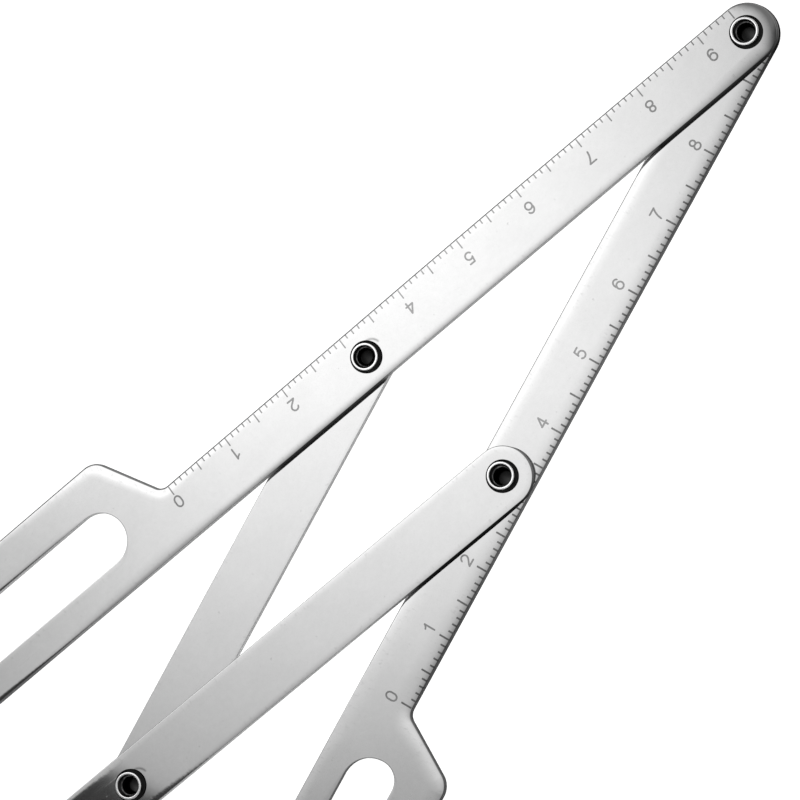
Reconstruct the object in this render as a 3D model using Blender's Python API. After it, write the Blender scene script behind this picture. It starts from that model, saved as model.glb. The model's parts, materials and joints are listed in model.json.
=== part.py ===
"""Eyebrow mapping caliper.

Four flat steel bars lie in two layers and turn on four tubular rivets. They make a
rhombus, so the middle tip always divides the gap between the two outer tips in the
golden ratio. Metres, +Z up. The origin is on the apex pivot, on the surface that the
rivet heads stand on. The outer legs point towards -Y: the left one is in the upper
layer, the right one in the lower.
"""
import math

import bmesh
import bpy

# Linkage
PIVOT_SPACING = 0.0638            # apex to either side pivot, and each side of the rhombus
OPENING = math.radians(22.0)      # angle between the outer legs at rest
GOLDEN_SHARE = 2.0 / (1.0 + math.sqrt(5.0))
OUTER_REACH = PIVOT_SPACING / (1.0 - GOLDEN_SHARE)   # apex to an outer tip
MIDDLE_REACH = OUTER_REACH * GOLDEN_SHARE            # side pivot to the middle tip

# Bars
BAR_WIDTH = 0.0078
PLATE_THICKNESS = 0.0010
RIM_RADIUS = 0.0003               # rolled edge all round each plate
RIM_LIMIT_SHARE = 0.45            # most of the plate's thickness that one rolled edge takes
TIP_FLAT = 0.0002                 # what a tip keeps between its rolled edges

# Stack, from the surface up
HEAD_THICKNESS = 0.0006
SEAT_CLEARANCE = 0.0001           # head to plate, and plate to rolled rim
LAYER_CLEARANCE = 0.00012         # between the two layers of bars
LOWER_LAYER = HEAD_THICKNESS + SEAT_CLEARANCE
LAYER_STEP = PLATE_THICKNESS + LAYER_CLEARANCE
UPPER_LAYER = LOWER_LAYER + LAYER_STEP
STACK_TOP = UPPER_LAYER + PLATE_THICKNESS

# Outer leg, from its tip back to the shoulder
POINT_LENGTH = 0.0175
BROAD_TAPER_LENGTH = 0.0105
BROAD_LENGTH = 0.0429
INNER_TAPER_LENGTH = 0.0210
BROAD_RISE = 0.00895              # how far the broad end stands out past the bar's edge
POINT_ROOT_EDGE = 0.0026          # pivot line to the outer edge where the point begins
SHOULDER_SLOPE = math.radians(60.0)
SHOULDER_FOOT_RADIUS = 0.0016
SHOULDER_TOP_RADIUS = 0.0020
BROAD_END_RADIUS = 0.0040
POINT_ROOT_RADIUS = 0.0060
TAPER_RADIUS = 0.0080
POINT_ROOT_REACH = OUTER_REACH - POINT_LENGTH
BROAD_REACH = POINT_ROOT_REACH - BROAD_TAPER_LENGTH
SHOULDER_REACH = BROAD_REACH - BROAD_LENGTH
BROAD_EDGE = BAR_WIDTH / 2.0 + BROAD_RISE

# Slot in the broad end: its inner edge lies on the pivot line, its outer edge on the rail
SLOT_SETBACK = 0.0070             # shoulder foot to the slot's near end
SLOT_OVERRUN = 0.0010             # slot's far end past the end of the broad edge
LEFT_RAIL_WIDTH = 0.0052
RIGHT_RAIL_WIDTH = 0.0059
SLOT_START = SHOULDER_REACH + SLOT_SETBACK
SLOT_END = BROAD_REACH + SLOT_OVERRUN

# Middle leg
MIDDLE_TAPER_LENGTH = 0.0212

# Rivets: a flat factory head below, a blind tube rolled outwards on top
SHANK_RADIUS = 0.00155
PIVOT_CLEARANCE = 0.00008         # radial, shank to hole
TUBE_WALL = 0.00045
HEAD_OVERHANG = 0.00105           # head past the shank
ROLL_OVERHANG = 0.0006            # rolled rim past the shank
ROLL_HEIGHT = 0.00055
BORE_FLOOR = 0.0009               # steel left below the bore's side wall
BORE_RADIUS = SHANK_RADIUS - TUBE_WALL
HEAD_RADIUS = SHANK_RADIUS + HEAD_OVERHANG
ROLL_RADIUS = SHANK_RADIUS + ROLL_OVERHANG

# Facets
ARC_STEP = math.radians(12.0)
SHARP_ANGLE = math.radians(50.0)
ROUND_SIDES = 24
RIM_STEPS = 2
MERGE_DISTANCE = 0.000001


def clear_scene():
    for old in list(bpy.data.objects):
        bpy.data.objects.remove(old, do_unlink=True)


def metal(name, colour, roughness):
    finish = bpy.data.materials.new(name)
    finish.use_nodes = True
    shader = finish.node_tree.nodes["Principled BSDF"]
    shader.inputs["Base Color"].default_value = (*colour, 1.0)
    shader.inputs["Roughness"].default_value = roughness
    shader.inputs["Metallic"].default_value = 1.0
    finish.diffuse_color = (*colour, 1.0)
    return finish


def unit(vector):
    length = math.hypot(*vector)
    return vector[0] / length, vector[1] / length


def corner_arc(before, corner, after, radius):
    """Points of the arc that rounds one corner of an outline."""
    back = unit((before[0] - corner[0], before[1] - corner[1]))
    ahead = unit((after[0] - corner[0], after[1] - corner[1]))
    half = math.acos(back[0] * ahead[0] + back[1] * ahead[1]) / 2.0
    middle = unit((back[0] + ahead[0], back[1] + ahead[1]))
    reach = radius / math.sin(half)
    centre = (corner[0] + middle[0] * reach, corner[1] + middle[1] * reach)
    run = radius / math.tan(half)
    first = math.atan2(corner[1] + back[1] * run - centre[1], corner[0] + back[0] * run - centre[0])
    last = math.atan2(corner[1] + ahead[1] * run - centre[1], corner[0] + ahead[0] * run - centre[0])
    turn = (last - first + math.pi) % (2.0 * math.pi) - math.pi
    steps = max(2, math.ceil(abs(turn) / ARC_STEP))
    angles = [first + turn * step / steps for step in range(steps + 1)]
    return [(centre[0] + radius * math.cos(a), centre[1] + radius * math.sin(a)) for a in angles]


def rounded_outline(corners, side=1.0):
    """Closed outline from (x, y, radius) corners; side -1 mirrors it across the pivot line."""
    points = []
    count = len(corners)
    for index, (x, y, radius) in enumerate(corners):
        before = corners[index - 1]
        after = corners[(index + 1) % count]
        points += corner_arc(before, (x, y), after, radius)
    return drop_repeats([(x, y * side) for x, y in points])


def drop_repeats(points):
    """Leaves out a point where two arcs meet in one place."""
    pairs = zip(points[-1:] + points[:-1], points)
    return [point for before, point in pairs if math.dist(before, point) > MERGE_DISTANCE]


def round_hole(x):
    """Outline of a pivot hole on the pivot line, with its flats clear of the shank."""
    radius = (SHANK_RADIUS + PIVOT_CLEARANCE) / math.cos(math.pi / ROUND_SIDES)
    angles = [2.0 * math.pi * side / ROUND_SIDES for side in range(ROUND_SIDES)]
    return [(x + radius * math.cos(a), radius * math.sin(a)) for a in angles]


def slot_hole(width, side):
    """Outline of a round-ended slot whose inner edge runs on the pivot line."""
    radius = width / 2.0
    ends = [(SLOT_START, 0.0), (SLOT_END, 0.0), (SLOT_END, width), (SLOT_START, width)]
    return rounded_outline([(x, y, radius) for x, y in ends], side)


def turning(outline):
    """Signed area: positive when the outline runs anticlockwise."""
    pairs = zip(outline, outline[1:] + outline[:1])
    return sum(a[0] * b[1] - b[0] * a[1] for a, b in pairs) / 2.0


def shifted(outline, distance):
    """The outline moved sideways to its left by a distance, corners kept mitred."""
    moved = []
    for index, point in enumerate(outline):
        before = outline[index - 1]
        after = outline[(index + 1) % len(outline)]
        arriving = unit((point[0] - before[0], point[1] - before[1]))
        leaving = unit((after[0] - point[0], after[1] - point[1]))
        normal = unit((-arriving[1] - leaving[1], arriving[0] + leaving[0]))
        mitre = distance / (normal[1] * arriving[0] - normal[0] * arriving[1])
        moved.append((point[0] + normal[0] * mitre, point[1] + normal[1] * mitre))
    return moved


def rim_radius():
    return min(RIM_RADIUS, PLATE_THICKNESS * RIM_LIMIT_SHARE)


def rim_levels():
    """How far the side wall stands back, and how high, from the bottom face to the top."""
    radius = rim_radius()
    lower = []
    for step in range(RIM_STEPS + 1):
        angle = math.pi / 2.0 * step / RIM_STEPS
        lower.append((radius * (1.0 - math.sin(angle)), radius * (1.0 - math.cos(angle))))
    upper = [(back, PLATE_THICKNESS - height) for back, height in reversed(lower)]
    return lower + upper


def ring_of_edges(bm, ring):
    return [bm.edges.new((a, b)) for a, b in zip(ring, ring[1:] + ring[:1])]


def plate(name, outline, holes, finish):
    """A flat bar with rolled rims round its outline and round every hole in it."""
    bm = bmesh.new()
    bottom = []
    top = []
    for loop in [outline] + holes:
        outside = loop is outline
        if (turning(loop) > 0.0) != outside:
            loop = loop[::-1]
        rings = []
        for back, height in rim_levels():
            rings.append([bm.verts.new((x, y, height)) for x, y in shifted(loop, back)])
        edges = [ring_of_edges(bm, ring) for ring in rings]
        for lower, upper in zip(edges, edges[1:]):
            bmesh.ops.bridge_loops(bm, edges=lower + upper)
        bottom += edges[0]
        top += edges[-1]
    for rim in (bottom, top):
        bmesh.ops.triangle_fill(bm, edges=rim, use_beauty=True)
    return finish_piece(name, bm, finish)


def turned(name, profile, finish):
    """A piece turned about its own Z axis from (radius, height) points."""
    bm = bmesh.new()
    points = [bm.verts.new((radius, 0.0, height)) for radius, height in profile]
    edges = [bm.edges.new(pair) for pair in zip(points, points[1:])]
    bmesh.ops.spin(bm, geom=points + edges, cent=(0.0, 0.0, 0.0), axis=(0.0, 0.0, 1.0),
                   angle=2.0 * math.pi, steps=ROUND_SIDES)
    bmesh.ops.remove_doubles(bm, verts=bm.verts, dist=MERGE_DISTANCE)
    return finish_piece(name, bm, finish)


def finish_piece(name, bm, finish):
    bmesh.ops.recalc_face_normals(bm, faces=bm.faces)
    mesh = bpy.data.meshes.new(name)
    bm.to_mesh(mesh)
    bm.free()
    mesh.materials.append(finish)
    mesh.shade_smooth()
    mesh.set_sharp_from_angle(angle=SHARP_ANGLE)
    piece = bpy.data.objects.new(name, mesh)
    bpy.context.collection.objects.link(piece)
    return piece


def tip_half_width():
    return rim_radius() + TIP_FLAT / 2.0


def outer_leg(name, side, rail_width, finish):
    """An outer leg: round apex, ruler bar, shoulder, slotted broad end and slender point."""
    half = BAR_WIDTH / 2.0
    tip = tip_half_width()
    shoulder_run = (BROAD_EDGE - half) / math.tan(SHOULDER_SLOPE)
    corners = [
        (-half, -half, half),
        (-half, half, half),
        (SHOULDER_REACH, half, SHOULDER_FOOT_RADIUS),
        (SHOULDER_REACH + shoulder_run, BROAD_EDGE, SHOULDER_TOP_RADIUS),
        (BROAD_REACH, BROAD_EDGE, BROAD_END_RADIUS),
        (POINT_ROOT_REACH, POINT_ROOT_EDGE, POINT_ROOT_RADIUS),
        (OUTER_REACH, tip, tip),
        (OUTER_REACH, -tip, tip),
        (OUTER_REACH - INNER_TAPER_LENGTH, -half, TAPER_RADIUS),
    ]
    holes = [round_hole(0.0), round_hole(PIVOT_SPACING), slot_hole(BROAD_EDGE - rail_width, side)]
    return plate(name, rounded_outline(corners, side), holes, finish)


def middle_leg(finish):
    """The middle leg: round at its pivot on the right leg, plain, and pointed."""
    half = BAR_WIDTH / 2.0
    tip = tip_half_width()
    taper = MIDDLE_REACH - MIDDLE_TAPER_LENGTH
    corners = [
        (-half, -half, half),
        (-half, half, half),
        (taper, half, TAPER_RADIUS),
        (MIDDLE_REACH, tip, tip),
        (MIDDLE_REACH, -tip, tip),
        (taper, -half, TAPER_RADIUS),
    ]
    holes = [round_hole(0.0), round_hole(PIVOT_SPACING)]
    return plate("middle_leg", rounded_outline(corners), holes, finish)


def link_bar(finish):
    """The short link: a plain bar with two round ends."""
    half = BAR_WIDTH / 2.0
    far = PIVOT_SPACING + half
    corners = [(-half, -half, half), (-half, half, half), (far, half, half), (far, -half, half)]
    holes = [round_hole(0.0), round_hole(PIVOT_SPACING)]
    return plate("link_bar", rounded_outline(corners), holes, finish)


def rivet(name, finish):
    """A semi-tubular rivet: flat head, shank, and a tube end rolled out over the top plate."""
    roll = STACK_TOP + SEAT_CLEARANCE
    crest = roll + ROLL_HEIGHT
    head_shares = ((0.75, 0.0), (0.92, 0.20), (1.0, 0.60), (1.0, 1.0))
    roll_shares = ((1.0, 0.0), (1.0, 0.25), (0.65, 0.88), (0.52, 1.0), (0.38, 0.88))
    throat_share = 0.35
    profile = [(0.0, 0.0)]
    profile += [(HEAD_RADIUS * out, HEAD_THICKNESS * up) for out, up in head_shares]
    profile += [(SHANK_RADIUS, HEAD_THICKNESS), (SHANK_RADIUS, roll)]
    for out, up in roll_shares:
        profile.append((BORE_RADIUS + (ROLL_RADIUS - BORE_RADIUS) * out, roll + ROLL_HEIGHT * up))
    profile += [
        (BORE_RADIUS, crest - (crest - BORE_FLOOR) * throat_share),
        (BORE_RADIUS, BORE_FLOOR),
        (0.0, BORE_FLOOR - BORE_FLOOR * throat_share),
    ]
    return turned(name, profile, finish)


def fold(piece, parent, along, rise, angle):
    """Pivots a piece on its parent: along the parent's pivot line, up, and turned."""
    piece.parent = parent
    piece.location = (along, 0.0, rise)
    piece.rotation_euler = (0.0, 0.0, angle)


def build():
    clear_scene()
    steel = metal("satin_steel", (0.62, 0.62, 0.63), 0.32)
    rivet_steel = metal("dark_rivet_steel", (0.28, 0.28, 0.29), 0.25)

    left = outer_leg("left_leg", -1.0, LEFT_RAIL_WIDTH, steel)
    left.location = (0.0, 0.0, UPPER_LAYER)
    left.rotation_euler = (0.0, 0.0, -math.pi / 2.0 - OPENING / 2.0)

    right = outer_leg("right_leg", 1.0, RIGHT_RAIL_WIDTH, steel)
    fold(right, left, 0.0, -LAYER_STEP, OPENING)

    link = link_bar(steel)
    fold(link, left, PIVOT_SPACING, -LAYER_STEP, OPENING)

    middle = middle_leg(steel)
    fold(middle, right, PIVOT_SPACING, LAYER_STEP, -OPENING)

    fold(rivet("apex_rivet", rivet_steel), left, 0.0, -UPPER_LAYER, 0.0)
    fold(rivet("left_rivet", rivet_steel), left, PIVOT_SPACING, -UPPER_LAYER, 0.0)
    fold(rivet("right_rivet", rivet_steel), right, PIVOT_SPACING, -LOWER_LAYER, 0.0)
    fold(rivet("centre_rivet", rivet_steel), middle, PIVOT_SPACING, -UPPER_LAYER, 0.0)


build()
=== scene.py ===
# %% [markdown]
# # An eyebrow mapping caliper in satin steel
#
# Four flat bars in two layers turn on four tubular rivets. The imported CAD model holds
# their true sizes and their joints. This script dresses it: each bar gets its rolled edges
# and its finish, each rivet its turned lip, and both outer legs their ruler. Everything is
# in metres, in the frame of the CAD model.

# %% Load the frame
import json
import math

import bmesh
import bpy
from mathutils import Euler, Matrix, Vector
from mathutils.bvhtree import BVHTree


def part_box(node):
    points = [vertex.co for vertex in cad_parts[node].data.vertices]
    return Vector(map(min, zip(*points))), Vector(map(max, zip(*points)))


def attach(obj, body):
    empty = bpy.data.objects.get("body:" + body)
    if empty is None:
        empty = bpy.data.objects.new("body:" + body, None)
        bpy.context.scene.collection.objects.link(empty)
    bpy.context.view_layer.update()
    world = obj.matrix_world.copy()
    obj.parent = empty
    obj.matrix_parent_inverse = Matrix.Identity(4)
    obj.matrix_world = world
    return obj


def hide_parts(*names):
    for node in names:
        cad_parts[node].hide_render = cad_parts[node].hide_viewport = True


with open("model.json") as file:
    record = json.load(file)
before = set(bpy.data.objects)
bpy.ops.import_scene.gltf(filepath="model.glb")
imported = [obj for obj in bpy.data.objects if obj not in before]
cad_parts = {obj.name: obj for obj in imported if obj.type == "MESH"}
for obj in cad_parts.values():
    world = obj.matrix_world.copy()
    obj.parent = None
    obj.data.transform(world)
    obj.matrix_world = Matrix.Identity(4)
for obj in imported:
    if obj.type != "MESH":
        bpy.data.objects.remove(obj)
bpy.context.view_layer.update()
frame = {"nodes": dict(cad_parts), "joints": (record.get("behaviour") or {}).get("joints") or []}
mm = 0.001
micron = 0.000001
print("CAD nodes:", ", ".join(sorted(frame["nodes"])))

# %% [markdown]
# ## Where the bars lie
#
# The joints of the frame give the pivots, and a node's box gives the height of its layer,
# so nothing here has to be fitted by eye. A bar's own frame has x along it from its first
# pivot and y across it. A leg's ruler is on the +y side of the right leg, and on the -y
# side of the left leg, which is its mirror image.

# %% Pivots, layers and the frame of each bar
joints = {joint["name"]: joint for joint in frame["joints"]}
apex = Vector(joints["opening"]["pos_m"])
left_pivot = Vector(joints["link_turn"]["pos_m"])
right_pivot = Vector(joints["middle_turn"]["pos_m"])
centre_pivot = left_pivot + right_pivot - apex
pivot_spacing = (left_pivot - apex).length

bar_low = {name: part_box(name)[0].z for name in ("left_leg", "right_leg", "middle_leg", "link_bar")}
plate_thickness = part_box("left_leg")[1].z - bar_low["left_leg"]


def bar_frame(start, through, height):
    """Matrix that takes a bar's own frame to its place: x runs from one pivot through another."""
    run = through - start
    turn = Matrix.Rotation(math.atan2(run.y, run.x), 4, "Z")
    return Matrix.Translation((start.x, start.y, height)) @ turn


bar_frames = {
    "left_leg": bar_frame(apex, left_pivot, bar_low["left_leg"]),
    "right_leg": bar_frame(apex, right_pivot, bar_low["right_leg"]),
    "middle_leg": bar_frame(right_pivot, centre_pivot, bar_low["middle_leg"]),
    "link_bar": bar_frame(left_pivot, centre_pivot, bar_low["link_bar"]),
}
print(f"pivots {pivot_spacing / mm:.2f} mm apart, plates {plate_thickness / mm:.2f} mm thick")

# %% [markdown]
# ## Camera
#
# The picture was taken with a long lens from nearly overhead, tilted towards the right
# leg. The place and the angles were worked out from the millimetre marks of both rulers,
# so a point of the model falls on the same point of an 800 x 800 picture.

# %% Camera
def placed(name, data):
    """A new object in the scene that holds a mesh or a camera."""
    made = bpy.data.objects.new(name, data)
    bpy.context.collection.objects.link(made)
    return made


photo_side = 800.0      # pixels
camera_data = bpy.data.cameras.new("camera")
camera_data.sensor_width = 36.0
camera_data.lens = 139.75
camera_data.shift_x = -0.5 / photo_side
camera_data.shift_y = 0.5 / photo_side
camera_data.clip_start = 10.0 * mm
camera_data.clip_end = 20.0
camera = placed("camera", camera_data)
camera.location = Vector((100.60, -12.09, 383.48)) * mm
camera.rotation_euler = Euler(math.radians(angle) for angle in (4.2587, 16.5984, 40.7848))
bpy.context.scene.camera = camera
bpy.context.scene.view_settings.view_transform = "Standard"
print("camera", tuple(round(value / mm, 1) for value in camera.location), "mm")

# %% [markdown]
# ## Node trees as expressions
#
# A shader is mostly arithmetic, and wiring each Math node by hand hides the formula. So
# this class wraps one output of a node and lets Python's operators add the Math nodes.
# Colours and vectors would turn grey in a Math node, so they go through the Mix, Vector
# Math and Mapping nodes that `mixed`, `vectors` and `moved` add. Any other node comes from
# `node`. All colours here are greys, so one number stands for a colour.


# %% The Wire class
def maths_operator(operation, swapped=False):
    """A method that adds a Math node for an operator. Swapped is its reflected form."""
    def method(self, value):
        return self.maths(operation, *((value, self) if swapped else (self, value)))
    return method


class Wire:
    """One output of a node in a tree. Arithmetic on wires adds Math nodes to the tree."""

    def __init__(self, tree, output=None):
        self.tree = tree
        self.output = output

    def node(self, kind, settings=None, inputs=None, output=0):
        """Adds a node: first its settings, then values or links on its inputs."""
        made = self.tree.nodes.new(kind)
        for name, value in (settings or {}).items():
            setattr(made, name, value)
        for name, value in (inputs or {}).items():
            plug(self.tree, find_socket(made.inputs, name), value)
        return Wire(self.tree, find_socket(made.outputs, output) if made.outputs else None)

    def other(self, output):
        """Another output of the same node."""
        return Wire(self.tree, find_socket(self.output.node.outputs, output))

    def maths(self, operation, *values):
        return self.node("ShaderNodeMath", {"operation": operation}, dict(enumerate(values)))

    __add__, __radd__ = maths_operator("ADD"), maths_operator("ADD", True)
    __sub__, __rsub__ = maths_operator("SUBTRACT"), maths_operator("SUBTRACT", True)
    __mul__, __rmul__ = maths_operator("MULTIPLY"), maths_operator("MULTIPLY", True)
    __truediv__, __rtruediv__ = maths_operator("DIVIDE"), maths_operator("DIVIDE", True)

    def step(self, low, high):
        """Smooth step from 0 at low to 1 at high, which may be the smaller of the two."""
        values = {"Value": self, "From Min": low, "From Max": high}
        return self.node("ShaderNodeMapRange", {"interpolation_type": "SMOOTHSTEP"}, values)

    def bell(self, centre, width):
        """A bell curve of height 1."""
        offset = (self - centre) / width
        return self.maths("EXPONENT", offset * offset * -0.5)

    def mixed(self, first, second):
        """Colour that goes from first, where this wire is 0, to second, where it is 1."""
        inputs = {"Factor_Float": self, "A_Color": first, "B_Color": second}
        return self.node("ShaderNodeMix", {"data_type": "RGBA"}, inputs, "Result_Color")

    def moved(self, offset=(0.0, 0.0, 0.0), turn=(0.0, 0.0, 0.0), scale=(1.0, 1.0, 1.0)):
        """This vector through a Mapping node."""
        inputs = {"Vector": self, "Location": offset, "Rotation": turn, "Scale": scale}
        return self.node("ShaderNodeMapping", {"vector_type": "POINT"}, inputs)

    def vectors(self, operation, *values, output=0):
        inputs = dict(enumerate(values))
        return self.node("ShaderNodeVectorMath", {"operation": operation}, inputs, output)

    def combined(self, *values):
        """A vector of up to three values."""
        return self.node("ShaderNodeCombineXYZ", inputs=dict(enumerate(values)))

    def axes(self):
        """The x, y and z of this vector."""
        split = self.node("ShaderNodeSeparateXYZ", inputs={0: self})
        return split, split.other("Y"), split.other("Z")

    def noise(self, scale, detail, roughness):
        """Cloudy noise between 0 and 1 over this vector."""
        inputs = {"Vector": self, "Scale": scale, "Detail": detail, "Roughness": roughness}
        return self.node("ShaderNodeTexNoise", {"noise_dimensions": "3D"}, inputs)

    def attribute(self, name, output="Fac"):
        """What the mesh carries under a name."""
        return self.node("ShaderNodeAttribute", {"attribute_name": name}, output=output)

    def bumped(self, height):
        """Normal of a surface with a relief, in thousandths of a millimetre."""
        inputs = {"Strength": 1.0, "Distance": micron, "Height": height}
        return self.node("ShaderNodeBump", inputs=inputs)


def find_socket(sockets, name):
    """A socket by its number, its identifier or its name."""
    if isinstance(name, int):
        return sockets[name]
    return next(socket for socket in sockets if name in (socket.identifier, socket.name))


def plug(tree, socket, value):
    """Links a wire to a socket, or sets its value. A number for a colour is a grey."""
    if isinstance(value, Wire):
        tree.links.new(value.output, socket)
    elif socket.type == "RGBA":
        socket.default_value = (value, value, value, 1.0)
    else:
        socket.default_value = value


def cleared(holder):
    """Empties the node tree of a world or a material, and wraps it as a Wire."""
    holder.use_nodes = True
    holder.node_tree.nodes.clear()
    return Wire(holder.node_tree)


def material(name, paint, *tones):
    """A material with the shader that paint makes from the start of its tree and any tones."""
    finish = bpy.data.materials.new(name)
    start = cleared(finish)
    start.node("ShaderNodeOutputMaterial", inputs={"Surface": paint(start, *tones)})
    print(name, "has", len(finish.node_tree.nodes), "nodes")
    return finish


print("operators of Wire: + - * / and their reflected forms")

# %% [markdown]
# ## Studio light
#
# Polished steel has hardly any colour of its own: a flat bar is a mirror, so what shows is
# the light above it. Here that is a long soft box over the left side, brightest along its
# middle and dimmer at its near corners, with a dark stand before its near end. A faint far
# wall stands behind it, a fill light beyond either end shows in views from other sides, and
# pale walls run round the horizon. All is painted in the world by direction, because a
# mirror only asks which way it looks. The camera itself sees plain white.

# %% World
# A pair is where a step starts and where it is complete, along one axis of the direction.
box_middle, box_spread = -0.094, 0.139
box_level, box_brightest = 1.42, 1.60
box_lean, lean_zero = -3.4, -0.26   # the box is nearer, and so brighter, towards the left
box_right, box_left = (0.34, 0.08), (-0.72, -0.64)
corner_right, corner_left, corner_near = (-0.230, -0.185), (-0.28, -0.31), (-0.16, -0.25)
corner_left_share, corner_loss = 0.6, 0.22
stand_east, stand_slant, stand_top = -0.24, 0.2, (-0.271, -0.277)
stand_right, stand_left = (-0.14, -0.18), (-0.285, -0.270)
far_wall_north, far_wall_east, far_wall_level = (0.02, 0.16), (0.10, -0.16), 0.24
north_fill, south_fill, fill_level = (0.30, 0.45), (-0.42, -0.52), 0.45
horizon, wall_level, room_level = (0.28, 0.42), 0.70, 0.05

world = bpy.data.worlds.new("studio")
bpy.context.scene.world = world
sky = cleared(world)
east, north, height = sky.node("ShaderNodeTexCoord", output="Generated").axes()
lean = sky.maths("EXPONENT", (east - lean_zero) * box_lean)
right_corner, left_corner = east.step(*corner_right), east.step(*corner_left) * corner_left_share
near_corners = sky.maths("MAXIMUM", right_corner, left_corner) * north.step(*corner_near)
across_box = north.bell(box_middle, box_spread) * (1.0 - near_corners * corner_loss)
below_top = (north - (east - stand_east) * stand_slant).step(*stand_top)
stand = below_top * east.step(*stand_right) * east.step(*stand_left)
along_box = lean * east.step(*box_right) * east.step(*box_left)
box_light = sky.maths("MINIMUM", along_box * across_box * box_level, box_brightest) * (1.0 - stand)
low_wall = 1.0 - height.step(*horizon)
far_wall = north.step(*far_wall_north) * east.step(*far_wall_east) * (far_wall_level - room_level)
fills = sky.maths("MAXIMUM", north.step(*north_fill), north.step(*south_fill)) * (fill_level - room_level)
overhead = sky.maths("MAXIMUM", box_light, sky.maths("MAXIMUM", far_wall, fills))
light_level = overhead * (1.0 - low_wall) + room_level + low_wall * (wall_level - room_level)
studio = sky.node("ShaderNodeBackground", inputs={"Color": light_level, "Strength": 1.0})
plain_white = sky.node("ShaderNodeBackground", inputs={"Color": 1.0, "Strength": 1.0})
seen = sky.node("ShaderNodeLightPath", output="Is Camera Ray")
shown = sky.node("ShaderNodeMixShader", inputs={0: seen, 1: studio, 2: plain_white})
sky.node("ShaderNodeOutputWorld", inputs={"Surface": shown})
print("world of", len(world.node_tree.nodes), "nodes, painted by direction")

# %% [markdown]
# ## Floor
#
# The caliper lies on a white table. The table is a plain matt plane under the flat heads
# of the rivets. It has its own light of a little white for the camera, which lifts it to
# the white of the background and leaves the shadow under the bars.

# %% Floor
def white_table(start):
    matt = start.node("ShaderNodeBsdfDiffuse", inputs={"Color": table_white})
    rays = start.node("ShaderNodeLightPath", output="Is Camera Ray")
    seen_rays = rays.maths("MAXIMUM", rays, rays.other("Is Glossy Ray"))
    seen_rays = rays.maths("MAXIMUM", seen_rays, rays.other("Is Transmission Ray"))
    glow = start.node("ShaderNodeEmission", inputs={"Color": 1.0, "Strength": seen_rays * table_glow})
    return start.node("ShaderNodeAddShader", inputs={0: matt, 1: glow})


floor_half = 3.0
table_white, table_glow = 0.93, 0.80
floor_mesh = bpy.data.meshes.new("floor")
corners = [(x * floor_half, y * floor_half, 0.0) for x, y in ((-1, -1), (1, -1), (1, 1), (-1, 1))]
floor_mesh.from_pydata(corners, [], [(0, 1, 2, 3)])
floor = placed("floor", floor_mesh)
floor_mesh.materials.append(material("white_table", white_table))
print("floor", 2.0 * floor_half, "m across")

# %% [markdown]
# ## Satin steel of the bars
#
# The bars are stamped from stainless sheet and tumbled: a fine satin that is nearly a
# mirror, with faint grain along each bar, mottling, a few specks and hairline scratches, and
# a scuff beside a rivet, as if a tool had slipped. Their sheared walls are rough, so there a
# matte shader takes over, and its colour is painted shade: dark where a wall faces another
# bar or the shadow beside it, pale where it faces the lit white table. The mesh carries three
# attributes for this. `bar_place` is a point's place in the frame of its bar, so the grain
# follows the bar when it turns. `edge_share` is 0 on the flat and 1 on the sheared wall, and
# the third holds the wall's painted shade.


# %% Steel of the bars
scuff_back, scuff_aside = 1.39 * mm, 0.04 * mm      # from the bar's far pivot
scuff_radius, scuff_width = 1.33 * mm, 0.11 * mm
scuff_way = (-0.65, -0.76, 0.0)


def hairlines(place, turn):
    """Sparse straight scratches that run nearly along the bar."""
    stretched = place.moved(turn=(0.0, 0.0, turn), scale=(60.0, 2600.0, 1.0))
    return stretched.noise(1.0, 1.0, 0.4).step(0.745, 0.80)


def slip_mark(place):
    """A short bow beside the bar's far rivet, on one side of it."""
    spoke = place.moved(offset=(scuff_back - pivot_spacing, scuff_aside, 0.0), scale=(1.0, 1.0, 0.0))
    slip = place.vectors("LENGTH", spoke, output="Value")
    aim = place.vectors("DOT_PRODUCT", spoke, scuff_way, output="Value")
    return slip.bell(scuff_radius, scuff_width) * (aim / slip).step(0.66, 0.84)


def satin_steel(start):
    place = start.attribute("bar_place", "Vector")
    edge, wall_tone = start.attribute("edge_share"), start.attribute("wall_tone")
    wall = edge.step(0.50, 0.75)
    rolled = edge.step(0.02, 0.25) * (1.0 - wall)

    grain = place.moved(scale=(60.0, 2400.0, 2400.0)).noise(1.0, 3.0, 0.6)
    clouds = place.noise(260.0, 3.0, 0.55)
    mottle = place.noise(1300.0, 3.0, 0.6) * 0.6 + place.noise(5200.0, 2.0, 0.6) * 0.4
    specks = place.noise(1500.0, 2.0, 0.6).step(0.70, 0.80)
    scratches = hairlines(place, 0.35) + hairlines(place, -0.22)
    folds = place.moved(scale=(1800.0, 1000.0, 1.0)).noise(1.0, 3.0, 0.6)
    scuff = slip_mark(place) * (0.4 + mottle)

    steel = (clouds * 0.4 + mottle * 0.6).mixed(0.560, 0.680)
    steel = (specks * 0.25).mixed(steel, 0.35)
    steel = (scuff * 0.80).mixed(steel, 0.22)
    steel = (folds.step(0.55, 0.75) * rolled * 0.22).mixed(steel, 0.25)
    dullness = 0.020 + clouds * 0.02 + grain * 0.02 + scratches * 0.08 + specks * 0.08
    relief = grain * 0.05 + clouds * 0.60 - scratches * 0.30 + folds * rolled
    face = start.node("ShaderNodeBsdfPrincipled", inputs={
        "Base Color": steel, "Metallic": 1.0, "Roughness": dullness, "Normal": start.bumped(relief)})
    # The wall's colour is painted shade, taken from the mesh, with a little grain in it.
    sheared = (wall_tone * (0.7 + grain * 0.6)).mixed(0.0, 1.0)
    side = start.node("ShaderNodeBsdfPrincipled", inputs={
        "Base Color": sheared, "Metallic": 0.0, "Roughness": 0.60, "Specular IOR Level": 0.0})
    return start.node("ShaderNodeMixShader", inputs={0: wall, 1: face, 2: side})


steel_finish = material("satin_steel", satin_steel)

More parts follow.
